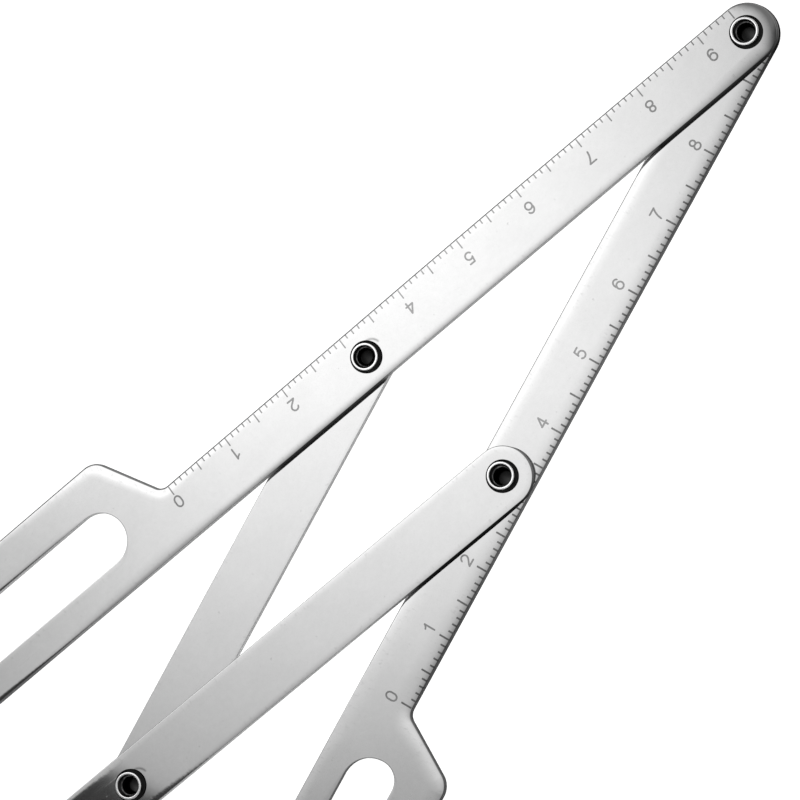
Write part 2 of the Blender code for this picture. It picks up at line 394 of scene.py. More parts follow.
# %% [markdown]
# ## Outline of a bar
#
# A stamped bar is an outline and a few holes. Its outline is written as a short list of
# corners, each with the radius that the die gave it, and every corner becomes an arc.
# Drawing the arcs by rule keeps the list short and the edges smooth at any fineness. The
# trims move single edges by up to 0.2 mm, to where the picture shows them.

# %% Sizes of the bars
golden_share = 2.0 / (1.0 + math.sqrt(5.0))
outer_reach = pivot_spacing / (1.0 - golden_share)
middle_reach = outer_reach * golden_share
bar_half = 3.9 * mm
broad_edge = bar_half + 8.95 * mm
point_root_reach = outer_reach - 17.5 * mm
broad_reach = point_root_reach - 10.5 * mm
shoulder_reach = broad_reach - 42.9 * mm
shoulder_run = (broad_edge - bar_half) / math.tan(math.radians(60.0))
slot_start = shoulder_reach + 7.0 * mm
slot_end = broad_reach + 1.0 * mm
tip_half = 0.4 * mm
taper_radius = 8.0 * mm
shoulder_foot_radius, shoulder_radius, broad_radius = 1.6 * mm, 2.8 * mm, 4.0 * mm
point_root_half, point_root_radius = 2.6 * mm, 6.0 * mm
inner_taper_reach = outer_reach - 21.0 * mm
middle_taper_reach = middle_reach - 21.2 * mm
hole_radius, hole_steps = 1.65 * mm, 48
belly_middle, belly_spread = 43.0 * mm, 19.0 * mm
leg_trims = {       # how much further out the edges lie, in mm: end, inner, ruler, broad, belly, shoulder
    "left_leg": (-0.12, 0.04, -0.04, 0.20, 0.17, 0.08),
    "right_leg": (0.0, 0.0, 0.07, 0.03, -0.06, -0.14),
}
middle_trims = (0.05, 0.18, -0.05)      # the same for the middle leg: end, left and right edge
leg_slots = {       # side of the ruler, outer rail and inner margin in mm, skew of the near end
    "left_leg": (-1.0, 5.26, 0.27, 0.0),
    "right_leg": (1.0, 6.15, 0.10, 0.20),
}
arc_step = math.radians(4.0)
longest_step = 2.5 * mm
print(f"outer legs reach {outer_reach / mm:.2f} mm, middle leg {middle_reach / mm:.2f} mm")


# %% Rounded outlines
def in_turn(loop):
    """Each item of a closed loop with the one before it and the one after it."""
    return zip(loop[-1:] + loop[:-1], loop, loop[1:] + loop[:1])


def rounded(corners, side=1.0):
    """Points of a closed outline from (x, y, radius) corners; side -1 mirrors it."""
    points = []
    for before, (x, y, radius), after in in_turn(corners):
        corner = Vector((x, y))
        back = (Vector(before[:2]) - corner).normalized()
        ahead = (Vector(after[:2]) - corner).normalized()
        half = back.angle(ahead) / 2.0
        centre = corner + (back + ahead).normalized() * (radius / math.sin(half))
        first = corner + back * (radius / math.tan(half)) - centre
        last = corner + ahead * (radius / math.tan(half)) - centre
        turn = first.angle_signed(last)
        steps = max(3, math.ceil(abs(turn) / arc_step))
        points += [centre + Matrix.Rotation(-turn * step / steps, 2) @ first for step in range(steps + 1)]
    points = [Vector((point.x, point.y * side)) for point in points]
    kept = []
    for before, point, _ in in_turn(points):
        pieces = math.ceil((point - before).length / longest_step)
        kept += [before.lerp(point, piece / pieces) for piece in range(1, pieces)]
        if (point - before).length > micron:
            kept.append(point)
    return kept if turning(kept) > 0.0 else kept[::-1]


def turning(points):
    """Twice the signed area of an outline: positive when it runs anticlockwise."""
    return sum(a.x * b.y - b.x * a.y for a, b, _ in in_turn(points))


def pivot_hole(x):
    """A round hole on the pivot line, clear of the rivet's shank."""
    angles = [2.0 * math.pi * step / hole_steps for step in range(hole_steps)]
    return [Vector((x + hole_radius * math.cos(a), hole_radius * math.sin(a))) for a in angles][::-1]


def holed(outline):
    """The loops of a bar: its outline and its two pivot holes."""
    return [outline, pivot_hole(0.0), pivot_hole(pivot_spacing)]


def slot(near, far, side, skew):
    """The round-ended slot of an outer leg, between two distances from the pivot line.

    skew makes the near end rounder on the pivot line's side and tighter on the other.
    """
    radius = 0.499 * (far - near)       # a little under half, so the arcs of an end don't meet
    return rounded([
        (slot_start, near, radius * (1.0 + skew)), (slot_end, near, radius),
        (slot_end, far, radius), (slot_start, far, radius * (1.0 - skew))], side)[::-1]


def bell(x, centre, spread):
    """A bell curve of height 1, for numbers."""
    return math.exp(-0.5 * ((x - centre) / spread) ** 2)


def outer_leg_loops(leg):
    end, inner, ruled, broad, belly, early = (trim * mm for trim in leg_trims[leg])
    side, rail, margin, skew = leg_slots[leg]
    corners = [
        (-bar_half - end, -bar_half - inner, bar_half),
        (-bar_half - end, bar_half + ruled, bar_half),
        (shoulder_reach - early, bar_half + ruled, shoulder_foot_radius),
        (shoulder_reach + shoulder_run - early, broad_edge + broad, shoulder_radius),
        (broad_reach, broad_edge + broad, broad_radius),
        (point_root_reach, point_root_half, point_root_radius),
        (outer_reach, tip_half, tip_half),
        (outer_reach, -tip_half, tip_half),
        (inner_taper_reach, -bar_half - inner, taper_radius),
    ]
    outline = rounded(corners, side)
    for point in outline:
        if point.y * side > 0.9 * bar_half and point.x < shoulder_reach:
            point.y += side * belly * bell(point.x, belly_middle, belly_spread)
    return holed(outline) + [slot(margin * mm, broad_edge - rail * mm, side, skew)]


def middle_leg_loops():
    end, left, right = (trim * mm for trim in middle_trims)
    corners = [
        (-bar_half - end, -bar_half - left, bar_half),
        (-bar_half - end, bar_half + right, bar_half),
        (middle_taper_reach, bar_half + right, taper_radius),
        (middle_reach, tip_half, tip_half),
        (middle_reach, -tip_half, tip_half),
        (middle_taper_reach, -bar_half - left, taper_radius),
    ]
    return holed(rounded(corners))


def link_loops():
    ends = (-bar_half, pivot_spacing + bar_half)
    corners = [(ends[0], -bar_half), (ends[0], bar_half), (ends[1], bar_half), (ends[1], -bar_half)]
    return holed(rounded([(x, y, bar_half) for x, y in corners]))


print("middle leg outline:", len(middle_leg_loops()[0]), "points")

# %% [markdown]
# ## Rolled edges
#
# A punch bends the sheet down before it shears it, so the top face falls away gently over
# the last millimetre or two and ends in a small round corner. On a mirror finish that slow
# fall turns the reflection from the bright soft box to the dark room. The slope grows
# towards the corner by a power law, and the rings of the mesh follow it. The outer legs
# show a wide roll, as if stamped face up; the link and the middle leg show hardly any. At a
# narrow point each place of an outline takes what its own half width allows.

# %% Section of a rolled edge
roll_steps = 11
corner_steps = 5
even_share = 0.25       # share of the slope that grows evenly over the roll
ring_power = 1.3        # crowds the rings towards the round corner


def rolled_section(width, slope, dish, power, corner):
    """Section at one point of an outline: (inset, drop, edge share) from the wall inwards.

    The slope goes from dish, where the roll starts, to slope, where the round corner starts.
    """
    gentle, steep = math.tan(dish), math.tan(slope) - math.tan(dish)

    def fall(share):
        grown = even_share * share ** 2 / 2.0 + (1.0 - even_share) * share ** (power + 1.0) / (power + 1.0)
        return width * (gentle * share + steep * grown)

    rings = []
    for step in range(corner_steps + 1):
        angle = slope + (math.pi / 2.0 - slope) * (1.0 - step / corner_steps)
        inset = corner * (1.0 - math.sin(angle))
        drop = corner * (math.cos(slope) - math.cos(angle))
        rings.append((inset, fall(1.0) + drop, 0.5 + angle / math.pi))
    for step in range(1, roll_steps + 1):
        share = 1.0 - (step / roll_steps) ** ring_power
        rings.append((inset + width * (1.0 - share), fall(share), 0.5 * share))
    return rings


for inset, drop, mark in rolled_section(1.0 * mm, math.radians(7.0), 0.0, 3.0, 0.2 * mm)[:corner_steps + 2]:
    print(f"inset {inset / mm:.3f} mm, drop {drop / mm:.3f} mm, edge share {mark:.2f}")


# %% Room for the roll
parallel = 1e-12                # a stretch of wall as good as parallel to a ray
own_wall = 10.0 * micron        # nearer than this, a ray has met the wall that it starts from
hole_ring_share, hole_share, across_share = 0.075, 0.90, 0.42   # of the way to a wall
bend_share, least_width = 0.85, 0.01 * mm
roll_growth = 0.35              # how fast the roll may widen along a loop


def inward_normals(loop):
    """Mitred normals into the metal, which lies to the left of the way that a loop runs."""
    normals = []
    for before, point, after in in_turn(loop):
        leaving = (after - point).normalized()
        along = ((point - before).normalized() + leaving).normalized()
        normals.append(Vector((-along.y, along.x)) / max(0.5, along.dot(leaving)))
    return normals


def crossing(point, direction, a, b):
    """Distance from a point along a direction to a stretch of wall, or None."""
    edge = b - a
    across = direction.x * edge.y - direction.y * edge.x
    if abs(across) < parallel:
        return None
    offset = a - point
    distance = (offset.x * edge.y - offset.y * edge.x) / across
    share = (offset.x * direction.y - offset.y * direction.x) / across
    return distance if distance > own_wall and 0.0 <= share <= 1.0 else None


def room_inwards(loops, number, normals, wanted, margin):
    """How wide the roll is at each point of a loop: at most what is wanted there.

    It leaves room for the roll across the metal, and never reaches the centre of a bend.
    """
    loop = loops[number]
    walls = []
    for other, wall in enumerate(loops):
        share = hole_ring_share if number in (1, 2) else hole_share if other in (1, 2) else across_share
        walls += [(a, b, share) for _, a, b in in_turn(wall)]
    room = []
    for (before, point, after), normal, width in zip(in_turn(loop), normals, wanted):
        hits = [(crossing(point, normal.normalized(), a, b), share) for a, b, share in walls]
        reach = min([hit * share for hit, share in hits if hit is not None] + [4.0 * width])
        arriving, leaving = point - before, after - point
        bend = -arriving.angle_signed(leaving)
        if bend > 0.01:
            reach = min(reach, bend_share * min(arriving.length, leaving.length) / bend)
        room.append(max(least_width, min(width, reach - margin)))
    return eased(loop, room)


def eased(loop, values):
    """Limits how fast a value grows along a loop, so that the roll widens gradually."""
    count = len(values)
    values = list(values)
    for way in (1, -1):
        for index in range(2 * count):
            here, before = (way * index) % count, (way * (index - 1)) % count
            gap = (loop[here] - loop[before]).length
            values[here] = min(values[here], values[before] + roll_growth * gap)
    return values


print("the roll narrows where a bar does")


# %% A stamped plate as a mesh
flat_ring = 0.05 * mm
foot_corner = 0.06 * mm


def stamped_plate(name, loops, edge_shape, power):
    """A flat bar with rolled top edges and small round corners below.

    edge_shape gives (width, slope, dish, corner, painted shade of the wall) for a loop's
    number, a point of the loop and its normal into the metal.
    """
    bm = bmesh.new()
    place = bm.verts.layers.float_vector.new("bar_place")
    edge = bm.verts.layers.float.new("edge_share")
    # This layer holds the painted shade of the wall.
    tone = bm.verts.layers.float.new("wall_tone")
    feet = [(foot_corner + flat_ring, 0.0, 0.0)]
    for step in range(corner_steps + 1):
        angle = math.pi / 2.0 * step / corner_steps
        inset, height = foot_corner * (1.0 - math.sin(angle)), foot_corner * (1.0 - math.cos(angle))
        feet.append((inset, height, 0.5 + angle / math.pi))
    rims = [[], []]
    for number, loop in enumerate(loops):
        normals = inward_normals(loop)
        shapes = [edge_shape(number, point, normal) for point, normal in zip(loop, normals)]
        margin = max(shape[3] for shape in shapes) + flat_ring
        room = room_inwards(loops, number, normals, [shape[0] for shape in shapes], margin)
        columns = []
        for point, normal, width, (_, slope, dish, corner, shade) in zip(loop, normals, room, shapes):
            section = rolled_section(width, math.radians(slope), math.radians(dish), power, corner)
            heights = [(inset, plate_thickness - drop, mark) for inset, drop, mark in section]
            heights.append((section[-1][0] + flat_ring, plate_thickness, 0.0))
            column = []
            for inset, height, mark in feet + heights:
                spot = point + normal * inset
                vert = bm.verts.new((spot.x, spot.y, height))
                vert[place], vert[edge], vert[tone] = vert.co, mark, shade
                column.append(vert)
            columns.append(column)
        for _, column, after in in_turn(columns):
            for level in range(len(column) - 1):
                bm.faces.new((column[level], after[level], after[level + 1], column[level + 1]))
        for rim, level in zip(rims, (0, -1)):
            rim += [bm.edges.get((a[level], b[level])) for _, a, b in in_turn(columns)]
    for rim in rims:
        bmesh.ops.triangle_fill(bm, edges=rim, use_beauty=True)
    bmesh.ops.recalc_face_normals(bm, faces=bm.faces)
    mesh = bpy.data.meshes.new(name)
    bm.to_mesh(mesh)
    bm.free()
    mesh.shade_smooth()
    return mesh


def between(table):
    """A function that reads a table of (x, value) pairs, with straight lines between them."""
    def value(x):
        for (x0, v0), (x1, v1) in zip(table, table[1:]):
            if x <= x1:
                return v0 + (v1 - v0) * clamped((x - x0) / (x1 - x0))
        return table[-1][1]
    return value


def clamped(share):
    return min(1.0, max(0.0, share))


print("a plate's roll ends in a flat ring of", round(flat_ring / mm, 2), "mm")

# %% [markdown]
# ## The four bars
#
# The roll of each bar was read off the picture at a few places, so it is written as tables
# of a value over x, in millimetres along the bar. The slope of a mirror decides what it
# shows. The wall's colour is painted shade, seen as the thin dark or pale line outside it:
# dark where the wall faces another bar or the shadow beside it, pale where it faces the lit
# white table.

# %% The four bars
# The walls of the pivot holes get a dark painted shade.
hole_shape = (0.05 * mm, 5.0, 0.0, 0.08 * mm, 0.1)      # width, slope, dish, corner and shade
slot_corner = 0.06 * mm
slot_roll, lit_roll, near_roll = 0.22, 0.83, 1.10       # width in mm: least, and more on two sides
slot_slope, lit_slope, near_slope = 2.0, 3.2, -0.6      # the same for the slope, in degrees
side_power = 8              # how closely those two sides are told from the rest
straight_start, straight_run = slot_start + 3.0 * mm, 6.0 * mm
shoulder_middle, shoulder_spread = shoulder_reach + 2.5 * mm, 2.5 * mm
end_run = 2.0 * mm          # the wall's shade turns to the +y side's over this length of the end
nothing = [(0.0, 0.0)]


def edges_of(widths, slopes, corners, tones, dishes=nothing, tilts=nothing, slot_painted_shade=0.90,
             shoulder_corner=1.25):
    """Edge shape from tables over x, in millimetres and degrees.

    corners is a pair for the -y and the +y side of the bar. tones is the wall's painted
    shade on the -y side and a table of it for the rest; the slot's wall has a painted shade
    of its own. A tilt is added to the slope on the +y side and taken from it on the other,
    which has no dish.
    """
    tables = (widths, slopes, dishes, tilts, tones[1])
    width, slope, dish, tilt, tone = (between([(x * mm, value) for x, value in table]) for table in tables)

    def shape(number, point, normal):
        facing = -normal.normalized().y
        if number in (1, 2):
            return hole_shape
        if number == 3:
            lit = clamped((point.x - straight_start) / straight_run) * max(0.0, facing) ** side_power
            near = max(0.0, -facing) ** side_power
            roll = (slot_roll + lit_roll * lit + near_roll * near) * mm
            return roll, slot_slope + lit_slope * lit + near_slope * near, 0.0, slot_corner, slot_painted_shade
        share = 0.5 + 0.5 * facing
        shoulder = bell(point.x, shoulder_middle, shoulder_spread)
        corner = (corners[0] + (corners[1] - corners[0]) * share) * (1.0 + (shoulder_corner - 1.0) * shoulder)
        shade = tones[0] + (tone(point.x) - tones[0]) * min(1.0, max(share, -point.x / end_run))
        return (width(point.x) * mm, slope(point.x) + tilt(point.x) * facing,
                dish(point.x) * min(1.0, 1.0 + facing), corner * mm, shade)
    return shape


left_edges = edges_of(
    widths=[(0, 1.75), (4, 1.6), (10, 1.15), (16, 1), (88, 1), (100, 1.75), (110, 1.5), (120, 0.7)],
    slopes=[(-3.9, 7.5), (-2.6, 10.5), (0, 11.5), (1.5, 8), (4, 6), (8, 4.8), (20, 5.1),
            (38, 6.5), (60, 6.5), (80, 5.9), (90, 5.9), (96, 6.2), (101, 6.2), (104, 3.6),
            (120, 3)],
    corners=(0.24, 0.07),
    tones=(0.20, [(-3.9, 0.25), (-2.5, 0.12), (0, 0.03), (8, 0.07), (16, 0.07), (18, 0.03),
                  (21, 0.85), (61, 0.85), (64, 0.08), (82, 0.08), (85, 0.85), (102, 0.85),
                  (108, 0.70), (116, 0.60), (124, 0.30)]),
    dishes=[(-3.9, 1.5), (0, 1.7), (5, 0.5), (9, 0), (95, 0), (104, 0.3)],
    tilts=[(-1, 3.5), (0, 5), (1.5, 6.5), (4, 4.5), (8, 3.3), (20, 2.7), (38, 0.5),
           (60, 0.5), (80, 1.7), (90, 1.7), (96, -1.7), (101, -1.7), (104, 0.8)])
right_edges = edges_of(
    widths=[(60, 1.9), (80, 2.6)],
    slopes=[(10, 9.5), (40, 7), (70, 7.5), (80, 8.7), (92, 7), (98, 4.5)],
    corners=(0.14, 0.20),
    tones=(0.30, [(0, 0.02), (6, 0.15), (40, 0.32), (60, 0.32), (85, 0.18)]),
    tilts=[(70, 0), (80, 2.3), (92, 5), (98, 2.5)], slot_painted_shade=0.30, shoulder_corner=0.5)
middle_edges = edges_of(
    widths=[(0, 1.1)], slopes=[(0, 2.3), (22, 2.3), (32, 1.7)], corners=(0.10, 0.06),
    tones=(0.50, [(-3.9, 0.40), (-2.5, 0.12), (0, 0.02), (17, 0.02), (21, 0.60), (28, 1)]))
link_edges = edges_of(
    widths=[(0, 0.6)], slopes=[(0, 1.4)], corners=(0.09, 0.05), tones=(0.30, [(0, 1)]))
plates = {      # loops, edge shape, and the power by which the roll's slope grows
    "left_leg": (outer_leg_loops("left_leg"), left_edges, 3.0),
    "right_leg": (outer_leg_loops("right_leg"), right_edges, 5.0),
    "middle_leg": (middle_leg_loops(), middle_edges, 3.0),
    "link_bar": (link_loops(), link_edges, 3.0),
}
bars = {}
for name, (loops, edges, power) in plates.items():
    mesh = stamped_plate(name + "_plate", loops, edges, power)
    mesh.transform(bar_frames[name])
    mesh.materials.append(steel_finish)
    bars[name] = bar = placed(name + "_plate", mesh)
    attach(bar, name)
    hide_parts(name)
    print(bar.name, len(mesh.vertices), "points")

# %% [markdown]
# ## Steel of the rivets
#
# The rivets are painted darker than the bars: the near black of their bores and flanks is
# painted shade and dark reflection, and the near white of the lip that was rolled over is a
# painted highlight, with a fainter, ragged one on the step inside it. The mesh carries two
# attributes. `rivet_place` holds the radius and the height of a point on the rivet, by which
# the bore is found and the fine turning marks run round. `lip_share` is 1 on the lip, and
# noise makes the painted highlight's borders slightly ragged.


# %% Steel of the rivets
bore_start, bore_full = 1.45 * mm, 1.35 * mm


def rivet_steel(start):
    place, lip = start.attribute("rivet_place", "Vector"), start.attribute("lip_share")
    ragged = start.node("ShaderNodeTexCoord", output="Object").noise(2600.0, 3.0, 0.6)
    # The lip's near white is a painted highlight, and the step inside it gets a fainter one.
    bright = (lip + (ragged - 0.5) * 0.12).step(0.42, 0.58)
    turned = place.moved(scale=(9000.0, 300.0, 9000.0)).noise(1.0, 2.0, 0.5)
    inside = place.axes()[0].step(bore_start, bore_full)
    # The near black of the flank and the bore is painted shade and dark reflection.
    dark = inside.mixed(ragged.mixed(0.008, 0.026), 0.045)
    dullness = 0.28 + ragged * 0.10 - bright * 0.16
    return start.node("ShaderNodeBsdfPrincipled", inputs={
        "Base Color": bright.mixed(dark, 0.98), "Metallic": 1.0, "Roughness": dullness,
        "Specular Tint": 0.15, "Normal": start.bumped(turned + ragged * 0.6)})


rivet_finish = material("dark_rivet_steel", rivet_steel)

# %% [markdown]
# ## Rivets
#
# Each rivet is a turned part: a flat head under the bars, a shank, and a tube end rolled
# outwards over the upper bar. So one profile of radius and height, in millimetres, makes
# all four. A Geometry Nodes tree bends a grid round the axis: one direction of the grid
# counts the steps round, the other picks the profile's points. In the picture each end
# leans a little, so the tree also leans the profile, from its seat on the bar to its crest.

# %% Profile of a rivet
def bow(x, y, rx, ry, start, end, steps=0):
    """Points on part of an oval, between two angles in degrees."""
    steps = steps or max(4, round(abs(end - start) / 15.0))
    angles = [math.radians(start + (end - start) * step / steps) for step in range(steps + 1)]
    return [(x + rx * math.cos(a), y + ry * math.sin(a)) for a in angles]


step_highlight_share = 0.46       # how much of the lip's painted highlight the step inside it gets
seat_gap = 0.10
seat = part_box("left_leg")[1].z / mm + seat_gap
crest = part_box("apex_rivet")[1].z / mm
head_edge = [(1.95, 0.0)] + bow(2.25, 0.35, 0.35, 0.35, -80.0, 0.0, 6) + [(2.6, 0.56), (2.56, 0.60)]
shank = [(1.62, 0.60), (1.55, 0.66), (1.55, seat - 0.05), (1.60, seat)]
flank = [(2.09, seat), (2.14, seat + 0.05), (2.13, seat + 0.12), (1.98, seat + 0.30), (1.785, crest - 0.07)]
lip = [(1.765, crest - 0.030), (1.75, crest - 0.008), (1.715, crest - 0.002), (1.62, crest),
       (1.54, crest - 0.002), (1.505, crest - 0.008), (1.49, crest - 0.030)]
funnel = [(1.47, crest - 0.08), (1.38, crest - 0.24), (1.34, crest - 0.40)]
highlit_step = [(1.30, crest - 0.46), (1.20, crest - 0.50), (1.16, crest - 0.58)]
bore = [(1.12, crest - 0.75), (1.08, 2.2), (1.07, 1.5), (1.06, 1.10), (1.00, 0.98), (0.86, 0.92), (0.0, 0.90)]
chain = [(0.0, 0.0)] + head_edge + shank + flank + lip + funnel + highlit_step + bore
profile_mesh = bpy.data.meshes.new("rivet_profile")
profile_mesh.from_pydata([(r * mm, 0.0, z * mm) for r, z in chain], [], [])
marks = profile_mesh.attributes.new("lip_share", "FLOAT", "POINT")
for index, point in enumerate(chain):
    marks.data[index].value = 1.0 if point in lip else step_highlight_share if point in highlit_step else 0.0
profile_object = placed("rivet_profile", profile_mesh)
print("profile of", len(chain), "points, lip crest at", round(crest, 2), "mm")


# %% Geometry Nodes helpers
def tree_with(name, sockets):
    """A Geometry Nodes tree with named inputs, each with its kind and its default or None."""
    tree = bpy.data.node_groups.new(name, "GeometryNodeTree")
    for label, kind, default in sockets:
        socket = tree.interface.new_socket(label, in_out="INPUT", socket_type="NodeSocket" + kind)
        if default is not None:
            socket.default_value = default
    tree.interface.new_socket("Geometry", in_out="OUTPUT", socket_type="NodeSocketGeometry")
    return tree


def close_tree(bench, geometry, finish):
    """Ends a tree: real geometry in its finish, at the group's output."""
    real = bench.node("GeometryNodeRealizeInstances", inputs={"Geometry": geometry})
    finished = bench.node("GeometryNodeSetMaterial", inputs={"Geometry": real, "Material": finish})
    bench.node("NodeGroupOutput", inputs={"Geometry": finished})
    print(bench.tree.name, "tree of", len(bench.tree.nodes), "nodes")


def run_tree(tree, name, values):
    """Runs a tree once on an empty mesh and returns what it makes as a plain mesh."""
    holder = placed(name, bpy.data.meshes.new(name + "_start"))
    modifier = holder.modifiers.new(tree.name, "NODES")
    modifier.node_group = tree
    for socket in tree.interface.items_tree:
        if socket.in_out == "INPUT":
            modifier[socket.identifier] = values[socket.name]
    ready = bpy.context.evaluated_depsgraph_get()
    made = bpy.data.meshes.new_from_object(holder.evaluated_get(ready), depsgraph=ready)
    made.name = name
    holder.modifiers.remove(modifier)
    bpy.data.objects.remove(holder)
    return made


def outward(mesh):
    """Turns every face of a closed mesh outwards."""
    bm = bmesh.new()
    bm.from_mesh(mesh)
    bmesh.ops.recalc_face_normals(bm, faces=bm.faces)
    bm.to_mesh(mesh)
    bm.free()


# %% The lathe tree
rivet_steps = 72
lean_run = 0.25 * mm        # the lean grows over this length below the seat
collar_rise = 0.1 * mm      # from here up it turns from the seat's lean to the crest's
weld_gap = 0.5 * micron
lathe = tree_with("turned_rivet", [
    ("Profile", "Object", None), ("Points", "Int", len(chain)), ("Steps Round", "Int", rivet_steps),
    ("Place", "Vector", None), ("Seat", "Float", seat * mm), ("Crest", "Float", crest * mm),
    ("Seat Lean", "Vector", None), ("Crest Lean", "Vector", None), ("Finish", "Material", None)])
bench = Wire(lathe)
given = bench.node("NodeGroupInput").other
points, steps_round = given("Points"), given("Steps Round")
grid = bench.node("GeometryNodeMeshGrid", inputs={"Vertices X": steps_round + 1.0, "Vertices Y": points})
number = bench.node("GeometryNodeInputIndex")
turn_step = bench.maths("FLOOR", number / points)
profile_step = number - turn_step * points
source = bench.node("GeometryNodeObjectInfo", {"transform_space": "ORIGINAL"},
                    {"Object": given("Profile")}, "Geometry")
named = bench.node("GeometryNodeInputNamedAttribute", {"data_type": "FLOAT"}, {"Name": "lip_share"},
                   "Attribute")
profile_spot, lip_mark = (
    bench.node("GeometryNodeSampleIndex", {"data_type": kind},
               {"Geometry": source, "Value": value, "Index": profile_step})
    for kind, value in (("FLOAT_VECTOR", bench.node("GeometryNodeInputPosition")), ("FLOAT", named)))
radius, _, height = profile_spot.axes()
angle = turn_step / steps_round * (2.0 * math.pi)
ring_spot = bench.combined(radius * bench.maths("COSINE", angle), radius * bench.maths("SINE", angle), height)
seat_height = given("Seat")
raised_share = height.step(seat_height - lean_run, seat_height)
crest_share = height.step(seat_height + collar_rise, given("Crest"))
full_lean = bench.node("ShaderNodeMix", {"data_type": "VECTOR"}, {
    "Factor_Float": crest_share, "A_Vector": given("Seat Lean"),
    "B_Vector": given("Crest Lean")}, "Result_Vector")
lean = bench.node("ShaderNodeVectorMath", {"operation": "SCALE"}, {0: full_lean, "Scale": raised_share})
on_pivot = bench.vectors("ADD", bench.vectors("ADD", ring_spot, lean), given("Place"))
rivet_spot = bench.combined(radius, angle * 0.001, height)
bent = grid
for label, kind, value in (("rivet_place", "FLOAT_VECTOR", rivet_spot), ("lip_share", "FLOAT", lip_mark)):
    bent = bench.node("GeometryNodeStoreNamedAttribute", {"data_type": kind},
                      {"Geometry": bent, "Name": label, "Value": value})
bent = bench.node("GeometryNodeSetPosition", inputs={"Geometry": bent, "Position": on_pivot})
welded = bench.node("GeometryNodeMergeByDistance", inputs={"Geometry": bent, "Distance": weld_gap})
smooth = bench.node("GeometryNodeSetShadeSmooth", inputs={"Geometry": welded, "Shade Smooth": True})
close_tree(bench, smooth, given("Finish"))

# %% The four rivets
rivet_homes = {     # pivot, body, and how far the seat and the crest lean to the side, in mm
    "apex_rivet": (apex, "left_leg", (-0.03, -0.02), (-0.17, -0.08)),
    "left_rivet": (left_pivot, "left_leg", (0.31, 0.15), (0.26, 0.08)),
    "right_rivet": (right_pivot, "right_leg", (-0.14, 0.11), (-0.26, 0.08)),
    "centre_rivet": (centre_pivot, "middle_leg", (-0.07, -0.06), (-0.14, -0.18)),
}
for name, (pivot, body, seat_lean, crest_lean) in rivet_homes.items():
    mesh = run_tree(lathe, name + "_turned", {
        "Profile": profile_object, "Points": len(chain), "Steps Round": rivet_steps,
        "Place": (pivot.x, pivot.y, 0.0), "Seat": seat * mm, "Crest": crest * mm,
        "Seat Lean": tuple(lean * mm for lean in (*seat_lean, 0.0)),
        "Crest Lean": tuple(lean * mm for lean in (*crest_lean, 0.0)), "Finish": rivet_finish})
    outward(mesh)
    rivet = placed(name + "_turned", mesh)
    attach(rivet, body)
    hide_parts(name)
    print(rivet.name, len(mesh.polygons), "faces")
bpy.data.objects.remove(profile_object)

# %% [markdown]
# ## The engraved ruler
#
# Both outer legs carry a ruler in millimetres along their outer edge, with a longer line
# at every fifth and a number at every tenth: dark, hardly raised, with a soft gloss, and
# paler along its middle. A texture could draw it, but thin closed strips stay sharp at any
# distance, so each line and each stroke of a number is one, laid on the plate with its
# underside just inside the metal.


# %% Finish of the marks
pale_place, pale_spread = -52.0 * mm, 24.0 * mm


def burnt_mark(start, deep, faint):
    """The tone is deep at both ends of the ruler and faint along its middle."""
    spot = start.node("ShaderNodeTexCoord", output="Object")
    pale_middle = spot.axes()[1].bell(pale_place, pale_spread)
    patches = spot.noise(900.0, 3.0, 0.6).step(0.35, 0.75)
    grains = spot.noise(9000.0, 2.0, 0.6)
    worn = patches * 0.25 + grains.step(0.55, 0.75) * 0.15
    tint = worn.mixed(pale_middle.mixed(deep, faint), 0.60)
    return start.node("ShaderNodeBsdfPrincipled", inputs={
        "Base Color": tint, "Metallic": 0.9, "Roughness": 0.20 + patches * 0.12,
        "Normal": start.bumped(grains * 1.5)})


faint_mark = material("faint_burnt_mark", burnt_mark, 0.20, 0.34)
dark_mark = material("dark_burnt_mark", burnt_mark, 0.15, 0.18)

# %% [markdown]
# ## Lines of the ruler
#
# Ninety-six lines a millimetre apart are a job for Geometry Nodes. Each point of a row
# carries a thin box, and every fifth box is stretched. The tree draws flat: x along the leg
# from its zero line, y in from the edge, and z 1 on top and 0 below.

# %% The ruler tree
ruler_lines = 96
line_spacing = 1.0 * mm
ruler = tree_with("ruler_lines", [
    ("Lines", "Int", ruler_lines), ("Spacing", "Float", line_spacing), ("Line Width", "Float", 0.17 * mm),
    ("Short Length", "Float", 0.8 * mm), ("Long Length", "Float", 1.5 * mm), ("Finish", "Material", None)])
desk = Wire(ruler)
given = desk.node("NodeGroupInput").other
offset = desk.combined(given("Spacing"))
row = desk.node("GeometryNodeMeshLine", {"mode": "OFFSET"}, {"Count": given("Lines"), "Offset": offset})
box_size = desk.combined(given("Line Width"), 1.0, 1.0)
box = desk.node("GeometryNodeMeshCube", inputs={
    "Size": box_size, "Vertices X": 2, "Vertices Y": 8, "Vertices Z": 2})
raised = desk.node("GeometryNodeTransform", inputs={"Geometry": box, "Translation": (0.0, 0.5, 0.5)})
number = desk.node("GeometryNodeInputIndex")
fifth = desk.maths("COMPARE", desk.maths("MODULO", number, 5.0), 0.0, 0.1)
uneven = desk.node("FunctionNodeRandomValue", {"data_type": "FLOAT"},
                   {"Min_001": 0.88, "Max_001": 1.10, "ID": number, "Seed": 7}, "Value_001")
length = given("Short Length") + fifth * (given("Long Length") - given("Short Length"))
stretch = desk.combined(1.0, length * uneven, 1.0)
lines = desk.node("GeometryNodeInstanceOnPoints", inputs={
    "Points": row, "Instance": raised, "Scale": stretch})
close_tree(desk, lines, given("Finish"))

# %% [markdown]
# ## Numbers
#
# The numbers are plain figures, as an engraving machine draws them, so each is a list of
# strokes: points on a unit height, some of them on arcs. A stroke becomes a strip of even
# width with round ends. The figures stand with their feet to the ruler's edge.


